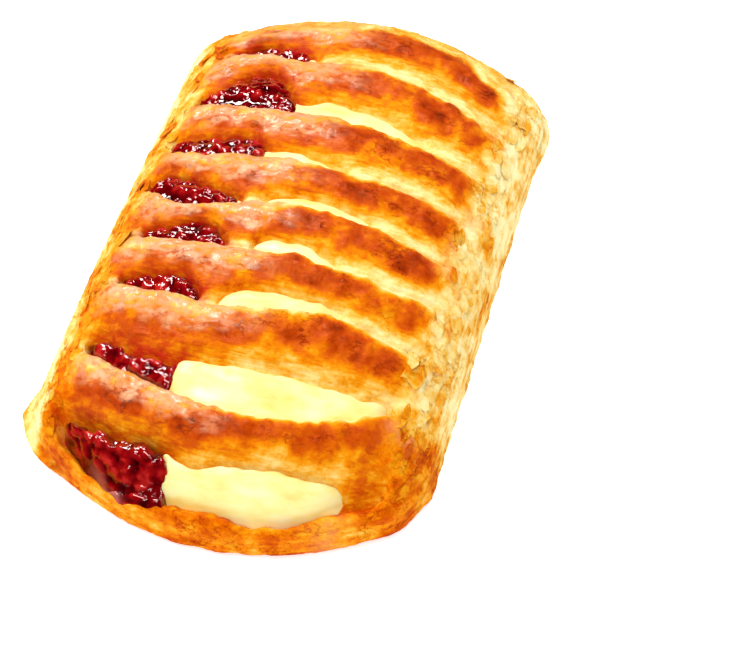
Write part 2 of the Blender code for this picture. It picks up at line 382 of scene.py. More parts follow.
def filling_lines(index, across, jam):
    """A filling's lines across one slit, front to back: place, drop below the dome, and how far it shows."""
    edge, foot, end, _, next_edge, share = slit_span(index, across)
    heap = SLITS[index].heap if jam else 0.3
    low_end = COVERED if index else RIM_DROP + CREASE + HIDDEN
    shown = mix(low_end, SHOWN, share if index or jam else ease(0.7, 3.2, end - foot))
    far = end + 0.5
    if index:
        front = [(edge, shown + 0.7, 0.3 * share), (foot + 0.2, shown - 0.3 * heap * share, share)]
    else:
        spill = np.exp(-(((across - SPILL_MIDDLE) / SPILL_HALF) ** 4)) if jam else 0.0 * across
        reach = JAM_SPILL * spill
        at_rim = mix(low_end, RIM_DROP + 0.4, share)

        def on_rim(place, rise):
            level = RIM_DROP * ((place + HALF_LENGTH) / (edge + HALF_LENGTH)) ** 2
            return place, level + mix(HIDDEN, -rise, spill)

        front = [
            (*on_rim(edge - reach - 0.05, -HIDDEN), 0.0),
            (*on_rim(edge - reach, 0.8), 0.2 * spill),
            (*on_rim(edge - 0.6 * reach, 1.7), 0.5 * spill),
            (edge + 0.1, mix(at_rim, RIM_DROP - 1.8, spill), mix(0.5 * share, 0.9, spill)),
            (foot + 0.2, mix(low_end, shown, 0.8), share),
        ]
    return front + [
        (mix(foot, far, 0.55), shown - heap * share, share),
        (far, shown, share),
        (far + 0.7, TOE, 0.0),
        (mix(far, next_edge, 0.55), mix(TOE, COVERED, 0.5), 0.0),
    ]


def surface(across, along, drop):
    """Points that lie a drop below the dome."""
    return np.stack([across, bowed(across, along), dome(across, along) - drop], axis=-1)


def draw_rows(lines, spacing):
    """Fine rows through the given lines. Each line holds across, along, drop and mark for every column."""
    lines = np.array(lines)
    points = surface(lines[:, 0], lines[:, 1], lines[:, 2])
    gaps = np.linalg.norm(np.diff(points, axis=0), axis=-1).mean(axis=1)
    counts = np.maximum(np.ceil(gaps / spacing).astype(int), 1)
    steps = [np.linspace(line, line + 1, count, endpoint=False) for line, count in enumerate(counts)]
    places = np.concatenate([*steps, [len(counts)]])
    low = np.minimum(places.astype(int), len(lines) - 2)
    share = (places - low)[:, None, None]
    rows = mix(lines[low], lines[low + 1], share)
    smooth = rows.copy()
    for _ in range(2):
        smooth[1:-1] = 0.25 * smooth[:-2] + 0.5 * smooth[1:-1] + 0.25 * smooth[2:]
    return smooth.transpose(1, 0, 2)


def even_columns(spacing):
    """Shares of the half width, from -1 to 1, that are evenly spaced over the curve of the loaf's back."""
    shares = np.linspace(-1.0, 1.0, 2001)
    heights = dome(shares * HALF_WIDTH, np.full_like(shares, PEAK))
    run = np.concatenate([[0.0], np.cumsum(np.hypot(np.diff(shares) * HALF_WIDTH, np.diff(heights)))])
    return np.interp(np.linspace(0.0, run[-1], int(run[-1] / spacing) + 1), run, shares)


def grid_normals(points):
    """Normals of a grid of points whose rows run back and whose columns run right."""
    normals = np.cross(np.gradient(points, axis=1), np.gradient(points, axis=0))
    return normals / np.maximum(np.linalg.norm(normals, axis=-1, keepdims=True), 1e-9)


def outline_loop(grid):
    """The outer values of a grid, once round it, counter-clockwise from above."""
    return np.concatenate([grid[0, :-1], grid[:-1, -1], grid[-1, :0:-1], grid[:0:-1, 0]])


# From the loaf's own middle to the frame's, read from where the custard lies in the frame.
custard_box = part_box("custard")
SHIFT = np.array(
    [
        custard_box[1][0] / MM - CUSTARD_RIGHT,
        custard_box[1][1] / MM - float(bowed(np.float64(0.0), np.float64(FILLING_BACK))),
        0.0,
    ]
)


def new_piece(name, points, faces, marks):
    """An object made of points in the loaf's millimetres. Marks are named numbers for every point."""
    mesh = bpy.data.meshes.new(name)
    mesh.from_pydata(((points + SHIFT) * MM).tolist(), [], faces)
    for mark, values in marks.items():
        mesh.attributes.new(mark, "FLOAT", "POINT").data.foreach_set("value", values.astype(np.float32))
    piece = bpy.data.objects.new(name, mesh)
    bpy.context.scene.collection.objects.link(piece)
    return piece


def ringed(values, rings):
    """A mark for a grid's points and for the rings of wall under them, which repeat its outer values."""
    return np.concatenate([values.ravel()] + [outline_loop(values)] * rings)


def block_mesh(name, top, rings, marks):
    """A closed piece: a grid of points on top, rings of points down its wall, one flat face underneath."""
    rows, columns = top.shape[:2]
    index = np.arange(rows * columns).reshape(rows, columns)
    corners = [index[:-1, :-1], index[:-1, 1:], index[1:, 1:], index[1:, :-1]]
    quads = [np.stack(corners, axis=-1).reshape(-1, 4)]
    upper = outline_loop(index)
    for ring in range(len(rings)):
        lower = rows * columns + ring * len(upper) + np.arange(len(upper))
        quads.append(np.stack([lower, np.roll(lower, -1), np.roll(upper, -1), upper], axis=-1))
        upper = lower
    points = np.concatenate([top.reshape(-1, 3), *rings])
    piece = new_piece(name, points, np.concatenate(quads).tolist() + [upper[::-1].tolist()], marks)
    piece.data.shade_smooth()
    piece.data.polygons[len(piece.data.polygons) - 1].use_smooth = False
    return piece


def crust_grid():
    """Across, along, drop and station of the crust's skin."""
    shares = even_columns(CRUST_SPACING)
    lines = []

    def add(index, row, *arguments):
        """Adds a line. Its run counts on from strip to strip, so stations blend only with neighbours."""
        across = half_width(np.float64(row(0.0, *arguments)[0])) * shares
        along, drop, station = row(across, *arguments)
        drop = drop * (1.0 - ease(SLAT_END, SLAT_END + SLAT_FADE, np.abs(across)))
        run = 2.0 * GROOVE * (index + (1.0 if station > 0.0 else 0.0)) - station
        lines.append(np.broadcast_arrays(across, along, drop, run))

    def front(across, share):
        return mix(-HALF_LENGTH, edge_line(0, across), share), RIM_DROP * share**2, 1.0 - share

    def slit(across, index, step):
        return crust_lines(index, across)[step]

    def back(across, share):
        return mix(edge_line(len(SLITS), across), HALF_LENGTH, share), 0.0, -0.1 * share

    for share in (0.0, 0.15, 0.35, 0.6, 0.8):
        add(-1, front, share)
    for index in range(len(SLITS)):
        for step in range(len(crust_lines(index, 0.0))):
            add(index, slit, index, step)
    for share in np.linspace(0.0, 1.0, 9):
        add(len(SLITS), back, share)
    across, along, drop, run = draw_rows(lines, CRUST_SPACING)
    turn = run % (2.0 * GROOVE)
    return across, along, drop, np.where(turn > GROOVE, 2.0 * GROOVE - turn, -turn)


def crust_wall(across, along, points, bake):
    """Rings down the wall below the widest line: layered, tucked in at its foot, with the base's flaps."""
    loop_across, loop_along = outline_loop(across), outline_loop(along)
    loop_x, loop_y = outline_loop(points[..., 0]), outline_loop(points[..., 1])
    out_x, out_y = outward(loop_across, loop_along)
    flap = 0.0
    for x, y, reach, spread in FLAPS:
        flap += reach * np.exp(-((np.hypot(loop_across - x, loop_along - y) / spread) ** 2))
    rings, ring_bake = [], []
    for ring in range(1, WALL_RINGS + 1):
        level = 1.0 - ring / WALL_RINGS
        outset = (LEDGE + flap) * np.sin(pi * min(level * 1.15, 1.0)) - UNDERCUT * (1.0 - level) ** 3
        leaf = crumple(loop_across / 4.0, loop_along / 4.0, np.float64(level * WALL / 0.9), 150.0)
        outset += 0.4 * leaf * min(4.0 * level, 1.0)
        height = np.full_like(loop_x, WALL * level)
        rings.append(np.stack([loop_x + out_x * outset, loop_y + out_y * outset, height], axis=-1))
        ring_bake.append(outline_loop(bake) + 0.16 * leaf + 0.45 * (1.0 - ease(0.0, 0.3, level)))
    return rings, ring_bake


def make_crust():
    """The crust's skin and walls, and the loose flakes that lie on it."""
    across, along, drop, station = crust_grid()
    depth_in = inset(across, along)
    points = surface(across, along, drop)
    settled = ease(0.0, 4.0, depth_in)
    unevenness = 0.45 * ripple(across, along, 8.0, 1.0) + 0.25 * ripple(across, along, 3.0, 2.0)
    points[..., 2] += settled * unevenness

    # Where each kind of surface lies.
    edge_noise = 1.6 * ripple(across, along, 5.0, 21.0) + 0.6 * ripple(across, along, 2.0, 22.0)
    slat = 1.0 - ease(SLAT_END - 2.5, SLAT_END + SLAT_FADE - 0.5, np.abs(across) + edge_noise)
    inner = slat * ease(-HALF_LENGTH, -HALF_LENGTH + 3.0, along) * (1.0 - ease(52.0, 56.0, along))
    face = inner * ease(0.95, 1.15, station)
    rear = inner * (1.0 - ease(-0.5, -0.15, station))
    top = inner * (1.0 - face) * (1.0 - rear)
    layered = np.clip(face + rear, 0.0, 1.0)
    flaky = 1.0 - inner
    left = 1.0 - ease(-8.0, 6.0, across + 4.0 * ripple(across, along, 7.0, 31.0))

    # Relief: blistered tops, leaf edges on the cut faces, overlapping flakes down the sides.
    height = points[..., 2]
    blister = crumple(across / 3.6, along / 2.8, height / 3.4, 30.0)
    pebble = crumple(across / 1.3, along / 1.1, height / 1.3, 60.0, 2)
    leaves = crumple(across / 9.0, along / 0.9, height / 0.7, 90.0, 2)
    flakes = crumple(across / 1.8, along / 5.0, height / 1.5, 120.0)
    steps = depth_in / 2.4 + 1.4 * ripple(across, along, 9.0, 23.0) + 0.6 * ripple(across, along, 3.0, 24.0)
    leaf_edge = (steps % 1.0) ** 3
    relief = top * (0.45 * blister + 0.10 * pebble) + layered * 0.24 * leaves
    relief += flaky * (0.30 * flakes + 0.08 * pebble - 0.24 * leaf_edge * ease(1.0, 3.0, depth_in))
    points += grid_normals(points) * (relief * ease(0.0, 1.5, depth_in))[..., None]

    # How browned each place is, from 0, raw cream, to 1, dark brown. The pale part of each strip is wider on
    # the left.
    crown = np.interp(station - 0.40 * left * (station > 0.0), *np.transpose(CROWN))
    patches = 0.20 * (ease(-0.30, 0.25, ripple(across, along, 8.0, 25.0)) - 0.5)
    patches += 0.12 * (ease(-0.2, 0.2, ripple(across, along * 0.8, 3.0, 26.0)) - 0.5)
    crown += 0.20 * left * (1.0 - ease(0.2, 0.6, station)) * (station > -0.3)
    crown += (0.05 - 0.11 * left) * ease(-48.0, -30.0, along) * ease(0.3, 0.6, station)
    crown -= 0.13 * left * ease(0.98, 1.1, station) * (1.0 - ease(-49.0, -46.0, along))
    corner_top = inner * ease(23.0, 29.0, across) * (1.0 - ease(-51.0, -46.0, along))
    crown = mix(crown, 0.60, 0.8 * corner_top)
    right_end = ease(21.0, 27.0, across) * slat * ease(0.15, 0.5, station) * (1.0 - ease(1.0, 1.4, station))
    beside_slats = ease(6.0, 10.5, depth_in)
    drift = crumple(across / 5.0, along / 9.0, height / 6.0, 190.0)
    right_shoulder = 0.18 + 0.18 * np.maximum(flakes, 0.0) + 0.26 * np.maximum(drift, -0.4)
    right_shoulder += 0.08 * beside_slats - 0.07 * ease(-10.0, 30.0, along)
    left_shoulder = 0.44 + 0.30 * drift - 0.24 * (1.0 - ease(1.0, 6.0, depth_in))
    sides = np.where(across > 0.0, right_shoulder, left_shoulder)
    front_end = 1.0 - ease(-56.0, -47.0, along)
    corner = ease(18.0, 26.0, across) * (1.0 - ease(-48.0, -38.0, along + 3.0 * drift))
    sides = mix(sides, 0.54 + 0.14 * ripple(across, along, 5.0, 29.0), np.maximum(front_end, corner))
    sides = np.minimum(sides, 0.60)
    left_flap = (1.0 - ease(-39.0, -35.5, across + drift)) * (1.0 - ease(-50.0, -42.0, along))
    sides = mix(sides, 0.22 + 0.22 * drift, left_flap)
    back_end = ease(48.0, 53.0, along) * slat
    bake = mix(crown + patches * (0.25 + 0.75 * top) - 0.03 * right_end, sides, flaky)
    bake = mix(bake, 0.50 + 0.5 * patches, front_end * slat * (1.0 - ease(1.0, 1.2, np.abs(station))))
    bake = np.minimum(mix(bake, 0.34 + 0.12 * ripple(across, along, 5.0, 32.0), back_end), MOST_BAKED)

    # Jam soaks the crust behind and beside it.
    near_jam = (1.0 - ease(seam(along) - 1.0, seam(along) + 2.0, across)) * slat * ease(-34.0, -30.0, across)
    stain = near_jam * ease(1.12, 1.36, station + 0.12 * blister) * mix(0.5, 1.0, ease(-51.0, -48.0, along))
    stain = np.maximum(stain, near_jam * (1.0 - ease(-0.7, -0.2, station)))
    for x, y, reach in SMEARS:
        smear = np.exp(-((np.hypot(across - x, along - y) / reach) ** 2)) * (0.7 + 0.6 * blister)
        stain = np.clip(np.maximum(stain, smear), 0.0, 1.0)
    # Where the egg wash lies glossy, on the left of each strip's top; its pale peach colour there is partly
    # painted highlight.
    sheen = station + 0.34 * ripple(across * 0.4, along, 1.8, 33.0) - 0.16 * ease(-42.0, -30.0, along)
    painted_sheen_and_glaze = left * top * (1.0 - ease(0.60, 0.88, sheen)) * ease(-55.5, -53.0, along)
    painted_sheen_and_glaze *= 1.0 - 0.6 * ease(45.0, 49.0, along)

    blush_and_painted_sheen = 0.5 * flaky * ease(0.0, 0.5, ripple(across, along, 6.0, 37.0)) * ease(0.0, 10.0, across)
    blush_and_painted_sheen *= (1.0 - front_end) * ease(2.0, 6.0, depth_in)
    # Painted sheen: a pale peach spot on the front rim's right end, over its pinkish-orange colour.
    spot = ((across - RIM_PAINTED_SHEEN_SPOT[0]) / 3.0) ** 2 + ((along - RIM_PAINTED_SHEEN_SPOT[1]) / 1.1) ** 2
    blush_and_painted_sheen += 0.6 * np.exp(-spot)
    side = flaky * (1.0 - ease(2.0, 7.0, depth_in)) * (1.0 - 0.6 * front_end)

    rings, ring_bake = crust_wall(across, along, points, bake)
    finishes = {
        "layered": layered,
        "flaky": flaky,
        "stain": stain,
        "painted_sheen_and_glaze": painted_sheen_and_glaze,
        "blush_and_painted_sheen": blush_and_painted_sheen,
        "side": side,
    }
    marks = {"bake": np.concatenate([bake.ravel(), *ring_bake])}
    for name, values in finishes.items():
        marks[name] = ringed(values, WALL_RINGS)
    flakes = make_flakes(points, bake, flaky * ease(1.5, 3.0, depth_in))
    return block_mesh("crust", points, rings, marks), flakes


def make_flakes(points, bake, cover):
    """Loose leaves of dough on the shoulders and ends: thin, cupped, and lifted at one tip."""
    normals = grid_normals(points).reshape(-1, 3)
    spots = rng.choice(np.flatnonzero(cover.ravel() > 0.8), FLAKE_COUNT, replace=False)
    turns = np.linspace(0.0, 2.0 * pi, FLAKE_CORNERS, endpoint=False)
    corners, faces, browning = [], [], []
    for spot in spots:
        normal = normals[spot]
        aim = rng.normal(0.0, 0.5)
        lengthwise = np.cross(normal, np.cross([sin(aim), cos(aim), 0.0], normal))
        lengthwise /= np.linalg.norm(lengthwise)
        crosswise = np.cross(normal, lengthwise)
        length = rng.uniform(1.0, 3.2)
        width = length * rng.uniform(0.35, 0.7)
        ragged = rng.uniform(0.7, 1.15, FLAKE_CORNERS)
        lift = rng.uniform(0.02, 0.22) * (1.0 + np.cos(turns)) / 2.0
        rim = points.reshape(-1, 3)[spot] + np.outer(length * ragged * np.cos(turns), lengthwise)
        rim += np.outer(width * ragged * np.sin(turns), crosswise) + np.outer(lift, normal)
        middle = rim.mean(axis=0) - 0.1 * lift.max() * normal
        start = len(corners)
        for level in (0.5 * FLAKE_THICK, -0.5 * FLAKE_THICK):
            corners += [point + level * normal for point in (middle, *rim)]
        under = start + FLAKE_CORNERS + 1
        for corner in range(FLAKE_CORNERS):
            first, second = 1 + corner, 1 + (corner + 1) % FLAKE_CORNERS
            faces.append((start, start + first, start + second))
            faces.append((under, under + second, under + first))
            faces.append((under + first, under + second, start + second, start + first))
        tone = min(bake.ravel()[spot] + rng.uniform(-0.04, 0.08), 0.7)
        browning += ([tone] + [tone + 0.05] * FLAKE_CORNERS) * 2
    count = len(corners)
    marks = {name: np.zeros(count) for name in ("layered", "stain", "painted_sheen_and_glaze", "blush_and_painted_sheen", "side")}
    marks.update(bake=np.array(browning), flaky=np.full(count, 0.4))
    return new_piece("crust_flakes", np.array(corners), faces, marks)


def filling_grid(jam):
    """Across, along, drop and show of a filling's top. The custard tucks under the jam where they meet."""
    lines = []
    part = 0.40 if jam else 0.66  # of the width of both fillings
    columns = int((CUSTARD_RIGHT - JAM_LEFT) * part / FILLING_SPACING)
    meet_drop = JAM_MEET_DROP if jam else CUSTARD_MEET_DROP

    def add(line_at, *arguments):
        meet = seam(line_at(0.0, *arguments)[0])
        left, right = (JAM_LEFT, meet) if jam else (meet - TUCK, CUSTARD_RIGHT)
        across = np.linspace(left, right, columns)
        along, drop, show = line_at(across, *arguments)
        outer_end = np.minimum((across - left if jam else right - across) / END_ROUND, 1.0)
        inner_end = np.minimum((right - across if jam else across - left) / TUCK, 1.0)
        drop = drop + OUTER_DROP * (1.0 - outer_end) ** 2 + meet_drop * (1.0 - inner_end) ** 2
        lines.append(np.broadcast_arrays(across, along, drop, show))

    def slit_line(across, index, step):
        return filling_lines(index, across, jam)[step]

    def back_line(across):
        return FILLING_BACK + 0.0 * across, COVERED + 1.0, 0.0

    for index in range(len(SLITS)):
        for step in range(len(filling_lines(index, 0.0, jam))):
            add(slit_line, index, step)
    add(back_line)
    return draw_rows(lines, FILLING_SPACING)


def filling_wall(points):
    """Rings of points down a filling's sides to its flat floor."""
    loop = outline_loop(points)
    walls = []
    for ring in range(1, FILLING_RINGS + 1):
        lower = loop.copy()
        lower[:, 2] = mix(loop[:, 2], FILLING_FLOOR, ring / FILLING_RINGS)
        walls.append(lower)
    return walls


def crushed_berries(points):
    """Rounded lumps about 2.6 mm wide, with folds between them, from -1 to 1."""

    def lump(point):
        return 0.9 - 1.6 * noise.voronoi(point)[0][0]

    across, along, height = (points[..., axis] for axis in range(3))
    fold = crumple(across / 5.0, along / 5.0, height / 5.0, 170.0)
    lumps = noise_field(lump, across / 2.8 + 0.5 * fold, along / 2.2 - 0.5 * fold, height / 2.6)
    return lumps + 0.5 * crumple(across / 1.5, along / 1.5, height / 1.5, 180.0, 2)


def make_jam():
    across, along, drop, show = filling_grid(True)
    points = surface(across, along, drop)
    lumps = crushed_berries(points)
    swell = np.maximum(0.6 * ripple(across, along, 6.0, 11.0) + 0.75 * lumps, -0.35)
    points += grid_normals(points) * (show * swell)[..., None]
    # Where the thin jelly lies at the foot of the front heap; it is painted pale pink, partly as a
    # reflection.
    runs = (across - PAINTED_REFLECTION_SYRUP[0]) * 0.22 + 1.2 * ripple(across, along, 3.0, 16.0)
    syrup_and_painted_reflection = np.exp(-(((across - PAINTED_REFLECTION_SYRUP[0]) / 4.0) ** 4) - ((along - PAINTED_REFLECTION_SYRUP[1] + runs) / 0.7) ** 2)
    marks = {"lump": ringed(lumps, FILLING_RINGS), "syrup_and_painted_reflection": ringed(syrup_and_painted_reflection, FILLING_RINGS)}
    return block_mesh("jam", points, filling_wall(points), marks)


def make_custard():
    across, along, drop, show = filling_grid(False)
    points = surface(across, along, drop)
    swell = 0.6 * ripple(across * 0.6, along, 5.0, 13.0) + 0.25 * ripple(across * 0.6, along, 2.4, 14.0)
    points += grid_normals(points) * (show * swell)[..., None]
    marks = {"swell": ringed(swell, FILLING_RINGS)}
    return block_mesh("custard_cream", points, filling_wall(points), marks)


# Materials.


def linear(hex_colour):
    """An sRGB hex colour as linear RGBA."""
    channels = [int(hex_colour[i : i + 2], 16) / 255.0 for i in (1, 3, 5)]
    return (*[c / 12.92 if c <= 0.04045 else ((c + 0.055) / 1.055) ** 2.4 for c in channels], 1.0)


def new_material(name):
    material = bpy.data.materials.new(name)
    material.use_nodes = True
    return material, material.node_tree.nodes["Principled BSDF"]


def add_node(material, kind, settings=None, **links):
    """Adds a node. Settings set its properties, and links its inputs, to values or other nodes' outputs."""
    tree = material.node_tree
    node = tree.nodes.new("ShaderNode" + kind)
    for key, value in (settings or {}).items():
        setattr(node, key, value)
    for key, value in links.items():
        place = int(key[1:]) if key[0] == "i" and key[1:].isdigit() else key.replace("_", " ")
        socket = node.inputs[place]
        if isinstance(value, bpy.types.NodeSocket):
            tree.links.new(value, socket)
        else:
            socket.default_value = value
    return node


def join(material, output, shader, socket):
    material.node_tree.links.new(output, shader.inputs[socket])


def fill_ramp(ramp, stops):
    elements = ramp.color_ramp.elements
    while len(elements) > 1:
        elements.remove(elements[-1])
    for index, (place, colour) in enumerate(stops):
        element = elements[0] if index == 0 else elements.new(place)
        element.position = place
        element.color = linear(colour)


def per_metre(size):
    """Texture scale that makes one feature about size millimetres wide."""
    return 1.0 / (size * MM)


BAKE_COLOURS = (  # from raw cream to dark brown
    (0.00, "#FDEFB0"),
    (0.16, "#FBDA88"),
    (0.30, "#F5BA4C"),
    (0.42, "#EF9A12"),
    (0.54, "#E47704"),
    (0.66, "#D05600"),
    (0.78, "#C24200"),
    (0.90, "#A83200"),
    (1.00, "#842200"),
)
GLAZE_AND_PAINTED_SHEEN_COLOURS = ("#E8965E", "#F6B68A")  # dried egg wash over brown, thin and thick; its pale peach is partly its own colour, partly painted highlight
# Pinkish-orange patches on the right shoulder, also used for the painted sheen on the front rim's right end.
BLUSH_AND_SHEEN_COLOUR = "#F3A46C"
STAIN_COLOUR = "#BC2408"  # jam soaked into the crust
BUTTER_SHEEN = "#FFA05A"


def baked_puff_pastry():
    """Butter pastry in leaves, egg-glazed and baked: browned on top, glossy where glazed with a painted pale
    peach highlight, pale where cut.
    """
    material, shader = new_material("puff_pastry_egg_washed_and_baked")
    place = add_node(material, "TexCoord").outputs["Object"]

    def mark(name):
        return add_node(material, "Attribute", {"attribute_name": name}).outputs["Fac"]

    def remap(value, start, end, low, high):
        return add_node(material, "MapRange", Value=value, i1=start, i2=end, i3=low, i4=high).outputs[0]

    def math(operation, first, second):
        return add_node(material, "Math", {"operation": operation}, i0=first, i1=second).outputs[0]

    def blend(share, under, over):
        settings = {"data_type": "RGBA", "blend_type": "MIX"}
        return add_node(material, "Mix", settings, i0=share, i6=under, i7=over).outputs[2]

    def grain(size, stretch=(1.0, 1.0, 1.0), detail=4.0):
        """Noise whose patches are size millimetres wide before they are stretched."""
        stretched = add_node(material, "Mapping", Vector=place, Scale=stretch).outputs[0]
        look = {"Scale": per_metre(size), "Detail": detail, "Roughness": 0.62}
        return add_node(material, "TexNoise", Vector=stretched, **look).outputs["Fac"]

    bake, layered, flaky, stain = (mark(name) for name in ("bake", "layered", "flaky", "stain"))
    painted_sheen_and_glaze, blush_and_painted_sheen, side = mark("painted_sheen_and_glaze"), mark("blush_and_painted_sheen"), mark("side")
    blotch = grain(3.2, (0.7, 1.0, 1.0), 6.0)
    speck = grain(0.9, detail=2.0)
    crack = grain(2.6, (0.55, 1.0, 1.0), 5.0)  # wrinkles where the skin dried first, long across the slice
    dry = grain(7.0, detail=2.0)  # the patches that wrinkled
    leaf = grain(0.8, (0.08, 1.0, 1.0))  # leaves of dough on the cut faces, long across the slice
    flake = grain(1.4, (1.0, 0.4, 1.0))  # flakes on the sides, long down the slice
    streak = grain(1.4, (0.5, 1.0, 1.0))  # dried runs of egg wash
    curl = grain(2.2, detail=3.0)  # lifted rims of flakes, which scorch first
    strata = grain(0.9, (0.12, 0.12, 1.0))  # leaves seen edge on along the sides, 0.9 mm apart

    tone = math("ADD", bake, remap(blotch, 0.40, 0.62, -0.10, 0.10))
    tone = math("ADD", tone, math("MULTIPLY", side, remap(strata, 0.35, 0.65, -0.13, 0.13)))
    line = remap(math("ABSOLUTE", math("SUBTRACT", crack, 0.5), 0.0), 0.0, 0.025, 1.0, 0.0)
    dry = math("SUBTRACT", dry, math("MULTIPLY", layered, 0.2))
    line = math("MULTIPLY", line, remap(dry, 0.46, 0.60, 0.0, 1.0))
    tone = math("ADD", tone, math("MULTIPLY", line, 0.15))
    tone = math("ADD", tone, remap(speck, 0.25, 0.75, -0.05, 0.05))
    tone = math("ADD", tone, math("MULTIPLY", layered, remap(leaf, 0.25, 0.75, -0.10, 0.10)))
    tone = math("ADD", tone, math("MULTIPLY", flaky, remap(flake, 0.60, 0.72, 0.0, 0.20)))
    rim = remap(math("ABSOLUTE", math("SUBTRACT", curl, 0.5), 0.0), 0.0, 0.02, 0.18, 0.0)
    rim = math("MULTIPLY", rim, remap(streak, 0.45, 0.6, 0.0, 1.0))
    tone = math("ADD", tone, math("MULTIPLY", flaky, rim))
    ramp = add_node(material, "ValToRGB", Fac=tone)
    fill_ramp(ramp, BAKE_COLOURS)
    # Egg wash colour mixed in where glossy; its pale peach is partly a painted highlight. The same share sets
    # the coat.
    glaze_and_painted_sheen_share = math("MULTIPLY", painted_sheen_and_glaze, remap(streak, 0.38, 0.57, 0.1, 1.0))
    thin_glaze_painted_sheen, thick_glaze_painted_sheen = map(linear, GLAZE_AND_PAINTED_SHEEN_COLOURS)
    glaze_and_painted_sheen_colour = blend(remap(blotch, 0.42, 0.58, 0.0, 1.0), thin_glaze_painted_sheen, thick_glaze_painted_sheen)
    with_painted_sheen = blend(glaze_and_painted_sheen_share, ramp.outputs["Color"], glaze_and_painted_sheen_colour)
    # Pinkish-orange patches on the right shoulder, and the painted sheen spot on the front rim.
    blush_and_painted_sheen = math("MULTIPLY", blush_and_painted_sheen, remap(blotch, 0.42, 0.58, 0.2, 1.0))
    with_blush_and_sheen = blend(blush_and_painted_sheen, with_painted_sheen, linear(BLUSH_AND_SHEEN_COLOUR))
    stain = math("MULTIPLY", stain, remap(blotch, 0.3, 0.6, 0.4, 1.0))
    soaked = blend(stain, with_blush_and_sheen, linear(STAIN_COLOUR))
    join(material, soaked, shader, "Base Color")
    join(material, remap(tone, 0.2, 0.85, 0.60, 0.36), shader, "Roughness")
    relief = math("ADD", math("MULTIPLY", blotch, 0.5), math("MULTIPLY", speck, 0.4))
    relief = math("ADD", relief, math("MULTIPLY", layered, math("MULTIPLY", leaf, 0.8)))
    relief = math("ADD", relief, math("MULTIPLY", side, strata))
    relief = math("SUBTRACT", relief, math("MULTIPLY", line, 0.3))
    bump = add_node(material, "Bump", Strength=0.8, Distance=0.5 * MM, Height=relief).outputs[0]
    join(material, bump, shader, "Normal")
    shader.inputs["IOR"].default_value = 1.45
    shader.inputs["Subsurface Weight"].default_value = 0.12
    shader.inputs["Subsurface Radius"].default_value = (1.0, 0.45, 0.15)
    shader.inputs["Subsurface Scale"].default_value = 1.2 * MM
    join(material, math("MULTIPLY", glaze_and_painted_sheen_share, 0.6), shader, "Coat Weight")
    washed_brown = math("SUBTRACT", remap(tone, 0.5, 0.7, 0.05, 0.6), math("MULTIPLY", flaky, 0.5))
    join(material, math("MAXIMUM", washed_brown, 0.05), shader, "Specular IOR Level")
    shader.inputs["Specular Tint"].default_value = linear(BUTTER_SHEEN)
    shader.inputs["Coat Roughness"].default_value = 0.18
    return material


def berry_jam():
    """Soft-set berry jam: dark and clear red, glossy all over, brighter where the jelly is thin, pale pink
    there partly as a painted reflection.
    """
    material, shader = new_material("berry_jam_soft_set")
    place = add_node(material, "TexCoord").outputs["Object"]
    lump = add_node(material, "Attribute", {"attribute_name": "lump"}).outputs["Fac"]
    cloud = add_node(material, "TexNoise", Vector=place, Scale=per_metre(3.0), Detail=3.0).outputs["Fac"]
    depth = add_node(material, "Math", {"operation": "MULTIPLY_ADD"}, i0=lump, i1=0.35, i2=cloud).outputs[0]
    ramp = add_node(material, "ValToRGB", Fac=depth)
    fill_ramp(ramp, ((0.2, "#380002"), (0.42, "#680006"), (0.62, "#98080C"), (0.85, "#C82822")))
    # Pale pink over the thin clear jelly: partly its colour, partly a painted reflection.
    syrup_and_painted_reflection = add_node(material, "Attribute", {"attribute_name": "syrup_and_painted_reflection"}).outputs["Fac"]
    clear = add_node(material, "MapRange", Value=syrup_and_painted_reflection, i1=0.0, i2=1.0, i3=0.0, i4=0.65).outputs[0]
    jelly = {"i0": clear, "i6": ramp.outputs["Color"], "i7": linear("#DC8C82")}
    colour = add_node(material, "Mix", {"data_type": "RGBA", "blend_type": "MIX"}, **jelly).outputs[2]
    join(material, colour, shader, "Base Color")
    pulp = add_node(material, "TexNoise", Vector=place, Scale=per_metre(1.3), Detail=2.0).outputs["Fac"]
    bump = add_node(material, "Bump", Strength=0.4, Distance=0.4 * MM, Height=pulp).outputs[0]
    join(material, bump, shader, "Normal")
    shader.inputs["Roughness"].default_value = 0.09
    shader.inputs["IOR"].default_value = 1.46
    shader.inputs["Specular IOR Level"].default_value = 0.9
    shader.inputs["Specular Tint"].default_value = linear("#FFC8C0")
    shader.inputs["Subsurface Weight"].default_value = 0.25
    shader.inputs["Subsurface Radius"].default_value = (1.0, 0.12, 0.1)
    shader.inputs["Subsurface Scale"].default_value = 2.0 * MM
    shader.inputs["Coat Weight"].default_value = 1.0
    shader.inputs["Coat Roughness"].default_value = 0.04
    return material


